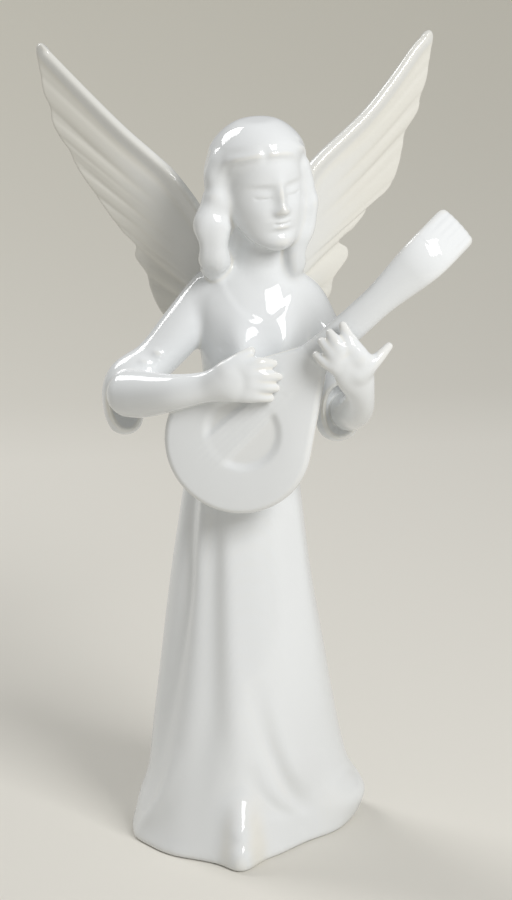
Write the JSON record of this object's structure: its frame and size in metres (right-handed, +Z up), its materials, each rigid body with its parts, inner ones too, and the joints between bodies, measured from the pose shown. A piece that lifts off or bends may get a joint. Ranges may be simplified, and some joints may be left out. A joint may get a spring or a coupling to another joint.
{
  "type": "angel figurine",
  "caption": "Standing angel in a long flared gown, wings raised behind, playing a round-bodied lute held across the body, in white glazed porcelain",
  "frame": {"origin": "on the table, under the middle of the box round the whole figure", "axes": "+Z up the figure, -Y the way the angel faces, +X to the angel's left"},
  "size_m": [0.1208, 0.0802, 0.241],
  "materials": {
    "white_glaze": "clear gloss glaze over cool white porcelain",
    "thin_glaze": "clear gloss glaze over thin porcelain, faintly ivory at the edges"
  },
  "bodies": {
    "root": {"gown_skirt": "white_glaze", "bodice": "white_glaze", "head": "white_glaze", "hair_crown": "white_glaze", "hair_lock_right": "white_glaze", "hair_lock_left": "white_glaze", "wing_right": "thin_glaze", "wing_left": "thin_glaze", "sleeve_right": "white_glaze", "sleeve_left": "white_glaze", "forearm_right": "white_glaze", "forearm_left": "white_glaze", "lute_bowl": "white_glaze", "lute_soundboard": "white_glaze", "lute_neck": "white_glaze", "lute_peghead": "white_glaze"}
  },
  "joints": []
}
